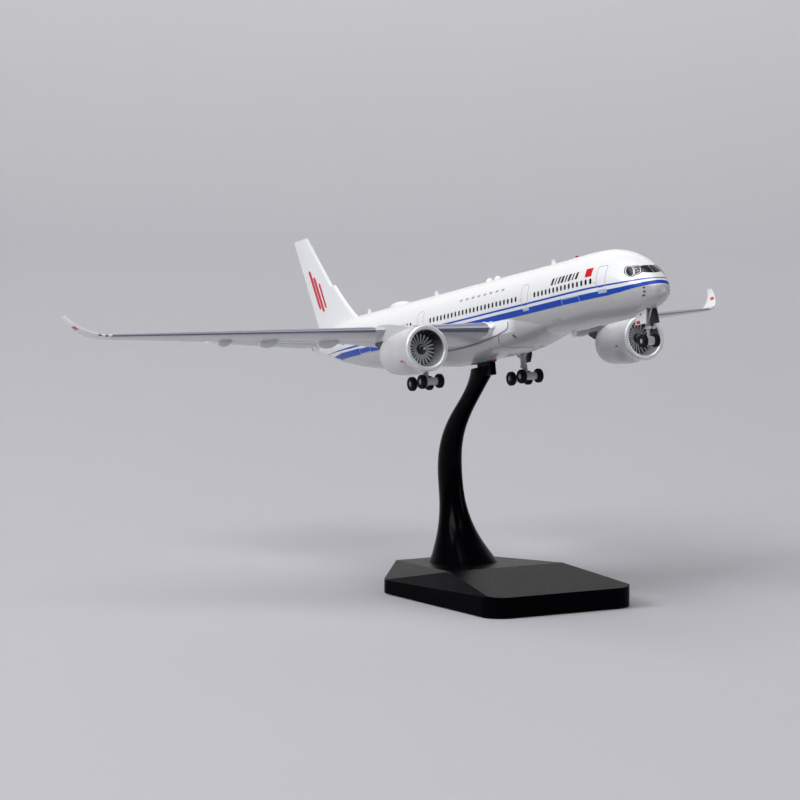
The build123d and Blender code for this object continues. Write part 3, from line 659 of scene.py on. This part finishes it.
WINDOW_GROUPS = ((37.8, 81.7, 15), (97.3, 172.2, 24), (190.5, 262.0, 23))    # first, last, how many
WINDOW_WIDTH, WINDOW_HEIGHT = 1.42, 2.2
WINDOW_LINE, WINDOW_LINE_RISE, WINDOW_LINE_START = 3.85, 0.004, 38
DOORS = ((31.6, 5.0), (90.1, 5.4), (181.6, 5.4), (268.5, 5.2))                # station, width
DOOR_MIDDLE, DOOR_HEIGHT = 4.9, 8.4
TITLE_START, TITLE_PITCH = 48.0, 2.75
TITLE_WIDTHS = (2.1, 1.2, 2.3, 1.4, 2.4, 1.8, 1.1, 2.2)
DASH_START, DASH_PITCH, DASH_COUNT = 110.0, 5.2, 8

for side, name in SIDES:
    wrap = wrapped(side)
    flat = from_side(side)
    track = stations_between(0, 40, 40) + stations_between(41, 291, 170)
    print_on(f"thin_stripe_{name}", skin_tree, strip(track, THIN_LOW, THIN_HIGH), wrap, blue_film)
    track = stations_between(0, 40, 40) + stations_between(41, 283, 165)
    print_on(f"wide_stripe_{name}", skin_tree, strip(track, THICK_LOW, THICK_HIGH), wrap, blue_film)
    panes = []
    for start, end, count in WINDOW_GROUPS:
        for i in range(count):
            middle = start + (end - start) * i / (count - 1)
            height = WINDOW_LINE + WINDOW_LINE_RISE * (middle - WINDOW_LINE_START)
            panes.append(rounded(middle, height, WINDOW_WIDTH, WINDOW_HEIGHT, 0.6))
    print_on(f"cabin_windows_{name}", skin_tree, panes, flat, window_film, 0.035)
    frames = []
    for middle, width in DOORS:
        frames += loop(rounded(middle, DOOR_MIDDLE, width, DOOR_HEIGHT, 1.1), 0.2)
    print_on(f"door_outlines_{name}", skin_tree, frames, flat, grey_line, 0.045)
    hatches = loop(rounded(54.3, -1.9, 13.4, 2.4, 0.4), 0.28)
    hatches += loop(rounded(238.0, -1.1, 12.0, 2.3, 0.4), 0.26)
    print_on(f"cargo_outlines_{name}", skin_tree, hatches, flat, pale_line, 0.05)
    sills = [rounded(31.3, -0.95, 5.2, 1.5, 0.2), rounded(90.2, -0.9, 5.0, 1.2, 0.2)]
    print_on(f"door_sills_{name}", skin_tree, sills, flat, pale_line, 0.045)

    bars = []
    for i, width in enumerate(TITLE_WIDTHS):
        bars.append(rounded(TITLE_START + i * TITLE_PITCH, 7.4, width * 0.8, 2.7, 0.15, -0.35))
    print_on(f"title_bars_{name}", skin_tree, bars, flat, dark_ink, 0.035)
    dashes = [rounded(DASH_START + i * DASH_PITCH, 9.6, 2.1, 0.8, 0.3, -0.5) for i in range(DASH_COUNT)]
    print_on(f"title_dashes_{name}", skin_tree, dashes, flat, soft_ink, 0.035)
    print_on(f"red_panel_{name}", skin_tree, [rounded(39.5, 7.5, 4.4, 3.3, 0.1, -0.1)], flat, red_film,
             0.035)
    ticks = [rounded(35.3, 2.9, 1.0, 0.28, 0.1), rounded(93.6, 3.2, 1.0, 0.28, 0.1)]
    print_on(f"red_ticks_{name}", skin_tree, ticks, flat, red_film, 0.04)
    rings = []
    for i in range(3):
        rings += loop(rounded(69.8 + i * 2.8, -7.75, 1.6, 0.8, 0.35), 0.2)
    print_on(f"belly_ports_{name}", skin_tree, rings, flat, soft_ink, 0.04)
    probes = [rounded(side * 5.85, v, 0.75, 0.75, 0.35) for v in (-2.3, -3.85, -5.3)]
    print_on(f"nose_probes_{name}", skin_tree, probes, from_front, brown_ink, 0.06)

# Flight-deck windows, pressed on from ahead
SIDE_AFT = [(5.9, 6.85), (6.5, 7.05), (7.2, 6.85), (7.8, 6.0), (8.3, 4.9), (8.45, 3.95), (8.2, 3.1),
            (7.75, 2.95), (7.25, 3.3), (6.65, 4.5)]
SIDE_FORE = [(3.55, 6.75), (4.4, 6.95), (5.3, 6.95), (6.05, 4.9), (6.7, 3.35), (5.9, 3.65), (4.75, 4.3),
             (4.2, 5.4)]
WINDSCREEN = [(0.25, 6.85), (1.8, 6.85), (3.2, 6.65), (3.75, 5.6), (4.35, 4.3), (3.2, 4.05), (1.9, 3.9),
              (0.25, 3.65)]


def scaled(outline, factor):
    """An outline grown or shrunk about its middle, in millimetres."""
    cu = sum(p[0] for p in outline) / len(outline)
    cv = sum(p[1] for p in outline) / len(outline)
    grown = []
    for u, v in outline:
        away = Vector((u - cu, v - cv))
        away += away.normalized() * factor
        grown.append((cu + away.x, cv + away.y))
    return grown


for side, name in SIDES:
    def mirrored(outline):
        return [(side * u, v) for u, v in outline]
    panes = [mirrored(o) for o in (SIDE_AFT, SIDE_FORE)]
    masks = [scaled(panes[0], 0.5), scaled(panes[1], 0.5), scaled(mirrored(WINDSCREEN), 0.22)]
    for i, mask in enumerate(masks):
        print_on(f"deck_mask_{name}_{i}", skin_tree, [mask], from_front, black_ink, 0.026 + 0.003 * i,
                 grid=0.5)
    print_on(f"deck_frames_{name}", skin_tree, [scaled(p, 0.24) for p in panes], from_front, white_film,
             0.045, grid=0.5)
    print_on(f"deck_glass_{name}", skin_tree, panes + [scaled(mirrored(WINDSCREEN), -0.12)],
             from_front, glass_film, 0.06, grid=0.5)

# Slanted bars on the fin
fin_tree = tree_of("fin")
FIN_BARS = ((306.6, 34.0, 2.6, 19.0),       # station, height, width, length
            (302.4, 31.5, 2.4, 17.0),
            (298.4, 30.5, 1.8, 12.0))
FIN_LEAN = 0.46
for side, name in SIDES:
    bars = [rounded(s, z, width, height, width * 0.45, FIN_LEAN, 5) for s, z, width, height in FIN_BARS]
    print_on(f"fin_bars_{name}", fin_tree, bars, from_side(side), red_film, 0.035)

# Seams and lamps at the wing root
for side, name in SIDES:
    seam = [(106.2, -4.2), (105.6, -5.6), (106.2, -6.9), (107.9, -7.7), (111.8, -8.3), (114.6, -8.9),
            (121, -9.6), (129.5, -10.1), (140, -10.5), (152, -10.6), (166, -10.2)]
    panel = [(113.6, -9.2), (114.6, -10.2), (116.4, -11.4), (117.0, -12.6), (116.6, -13.6)]
    print_on(f"root_seams_{name}", skin_tree, ribbon(seam, 0.42), from_side(side), seam_ink, 0.05)
    print_on(f"belly_seams_{name}", skin_tree, ribbon(panel, 0.3), from_side(side), seam_ink, 0.05)
    arc = [(117.1, 11.6), (116.6, 10.4), (115.5, 9.2), (110.8, 6.7), (109.0, 1.6)]
    drains = ([(124.6, 3.2), (124.6, 4.6)], [(108.2, 1.4), (108.2, 2.8)], [(126, 11.6), (126.6, 12.6)])
    under = ribbon(arc, 0.3)
    for drain in drains:
        under += ribbon(drain, 0.5)
    print_on(f"keel_seams_{name}", skin_tree, under, from_below(side), seam_ink, 0.05)
    outlet = [rounded(104.7, -10.4, 1.5, 1.5, 0.6)]
    print_on(f"air_outlet_{name}", skin_tree, outlet, from_side(side), seam_ink, 0.05)
    lamp = [(side * y, z) for y, z in ((15.8, -4.5), (15.5, -5.2), (15.8, -5.9), (16.1, -5.2))]
    print_on(f"root_lamps_{name}", tree_of("belly_fairing", *both("wing")), loop(lamp, 0.2),
             from_front, soft_ink, 0.05, grid=0.2)

# Marks on the wings, cowls and nose doors
for side, name in HALVES:
    wing_tree = tree_of(f"wing_{name}")
    flag = [rounded(218.6, 12.3, 4.2, 1.6, 0.3, 0.9)]
    print_on(f"winglet_marks_{name}", wing_tree, flag, from_tip(side), red_film, grid=0.5)
    inside = [rounded(217.0, 13.2, 4.0, 1.6, 0.3, 0.9)]
    print_on(f"winglet_inner_marks_{name}", wing_tree, inside, from_inside(side), red_film, grid=0.5)
    for part, start, film in ((0, 150.1, black_ink), (1, 151.3, white_film), (2, 152.4, black_ink)):
        patch = [(side * y, z) for y, z in ((start, 6.2), (start + 1.0, 6.3), (start + 1.0, 8.6),
                                           (start, 8.5))]
        print_on(f"edge_marks_{name}_{part}", wing_tree, [patch], from_front, film, grid=0.25)
    gap = ribbon([(172.6, 63.5), (192.6, 102.6)], 0.42) + ribbon([(160.2, 44), (170.5, 59.5)], 0.35)
    print_on(f"flap_gap_{name}", wing_tree, gap, from_below(side), seam_ink)
    ticks = ribbon([(169.2, 71.0), (179.2, 66.3)], 0.5) + ribbon([(177.6, 93.0), (186.6, 88.9)], 0.5)
    print_on(f"flap_ticks_{name}", wing_tree, ticks, from_below(side), white_film, 0.04)
    cowl_tree = tree_of(f"nacelle_{name}")
    outer = [rounded(115.0, -17.6, 1.9, 0.8, 0.2, 0.3), rounded(113.6, -18.3, 0.7, 0.7, 0.2)]
    print_on(f"cowl_marks_{name}", cowl_tree, outer, from_side(side), red_film, grid=0.5)
    print_on(f"cowl_lines_{name}", cowl_tree, ribbon([(114.6, -18.4), (113.4, -20.6)], 0.22),
             from_side(side), soft_ink, grid=0.5)
    inner = [rounded(115.6, -15.6, 1.7, 0.8, 0.2, 0.3)]   # the same mark seen from the fuselage
    print_on(f"cowl_inner_marks_{name}", cowl_tree, inner, from_inside(side), red_film, grid=0.5)
    door_tree = tree_of(f"nose_door_{name}")
    print_on(f"door_square_{name}", door_tree, [rounded(22.4, -14.9, 2.6, 1.3, 0.15)],
             from_side(side), red_film, grid=0.5)
    print_on(f"door_catch_{name}", door_tree, [rounded(20.8, -11.9, 1.1, 0.8, 0.2)], from_side(side),
             seam_ink, grid=0.5)

lamp_faces = [rounded(side * 1.05, -17.4, 1.2, 1.2, 0.55) for side in (1, -1)]
print_on("nose_lamp_faces", tree_of("nose_leg"), lamp_faces, from_front, white_film, grid=0.4)

# ------------------------------------------------------------------ camera, floor and light

CAMERA = Vector((1.32408, -0.73242, 0.24150))
AZIMUTH, ELEVATION = math.radians(62.0491), math.radians(6.0896)
LENS = 158.58

# From the model towards the camera
back = Vector((math.sin(AZIMUTH) * math.cos(ELEVATION), -math.cos(AZIMUTH) * math.cos(ELEVATION),
               math.sin(ELEVATION)))
camera = bpy.data.objects.new("camera", bpy.data.cameras.new("camera"))
bpy.context.scene.collection.objects.link(camera)
camera.location = CAMERA
camera.rotation_mode = "QUATERNION"
camera.rotation_quaternion = (-back).to_track_quat("-Z", "Y")
camera.data.lens = LENS
camera.data.sensor_width = 36
camera.data.clip_end = 50
bpy.context.scene.camera = camera


FLOOR_HALF = 6.0        # metres, to each side and towards the camera
CURVE_START, CURVE_RADIUS, CURVE_STEPS = 2.2, 1.2, 12
WALL_DEPTH, WALL_TOP = 3.4, 6.0
FLOOR_DROP = 0.0002     # the floor lies this far under the pads


def backdrop():
    """A pale floor that curves up into a wall behind the model, painted lighter up the wall as painted
    light.
    """
    floor = Paint("backdrop_paper", (0.455, 0.457, 0.49), 0.85)
    # Painted light: the paper turns lighter from the floor to a metre up the wall, standing in for
    # light falling on it.
    floor.tint(floor.along(Vector((0, 0, 1)), Vector()).past(500.0, 1000.0), (0.71, 0.688, 0.668))
    floor.mottle(0.02, 6)
    mesh = bpy.data.meshes.new("backdrop")
    shape = bmesh.new()
    away = Vector((-back.x, -back.y, 0)).normalized()
    across = Vector((away.y, -away.x, 0))
    profile = [(-FLOOR_HALF, 0.0), (CURVE_START, 0.0)]
    for i in range(1, CURVE_STEPS + 1):
        turn = math.pi / 2 * i / CURVE_STEPS
        profile.append((CURVE_START + CURVE_RADIUS * math.sin(turn),
                        CURVE_RADIUS - CURVE_RADIUS * math.cos(turn)))
    profile.append((WALL_DEPTH, WALL_TOP))
    rows = []
    for depth, height in profile:
        spot = away * depth + Vector((0, 0, height - FLOOR_DROP))
        rows.append([shape.verts.new(spot + across * w) for w in (-FLOOR_HALF, FLOOR_HALF)])
    for a, b in zip(rows, rows[1:]):
        shape.faces.new([a[0], a[1], b[1], b[0]])
    shape.to_mesh(mesh)
    shape.free()
    for polygon in mesh.polygons:
        polygon.use_smooth = True
    screen = bpy.data.objects.new("backdrop", mesh)
    mesh.materials.append(floor.finish())
    bpy.context.scene.collection.objects.link(screen)


def softbox(name, position, target, size, power, colour=(1, 1, 1)):
    """A rectangular light aimed at a point."""
    light = bpy.data.lights.new(name, "AREA")
    light.shape = "RECTANGLE"
    light.size, light.size_y = size
    light.energy = power
    light.color = colour
    lamp = bpy.data.objects.new(name, light)
    lamp.location = position
    lamp.rotation_mode = "QUATERNION"
    lamp.rotation_quaternion = (Vector(target) - Vector(position)).to_track_quat("-Z", "Y")
    bpy.context.scene.collection.objects.link(lamp)


backdrop()
softbox("key_overhead", (0.2, -0.4, 2.2), (0, 0, 0.1), (2.0, 2.0), 40)
softbox("fill_port", (1.4, 1.6, 1.0), (0, 0, 0.1), (0.6, 1.0), 5)
softbox("key_starboard", (-0.3, -2.2, 1.6), (0, 0, 0.12), (1.2, 1.0), 38)
towards_wall = Vector((-back.x, -back.y, 0)).normalized()
softbox("wall_wash", towards_wall * 1.6 + Vector((0, 0, 2.6)),
        towards_wall * WALL_DEPTH + Vector((0, 0, 1.6)), (4.0, 0.8), 60)
world = bpy.data.worlds.new("studio")
world.use_nodes = True
world.node_tree.nodes["Background"].inputs[0].default_value = (0.92, 0.94, 1.0, 1)
world.node_tree.nodes["Background"].inputs[1].default_value = 0.12
bpy.context.scene.world = world
bpy.context.scene.view_settings.view_transform = "Standard"
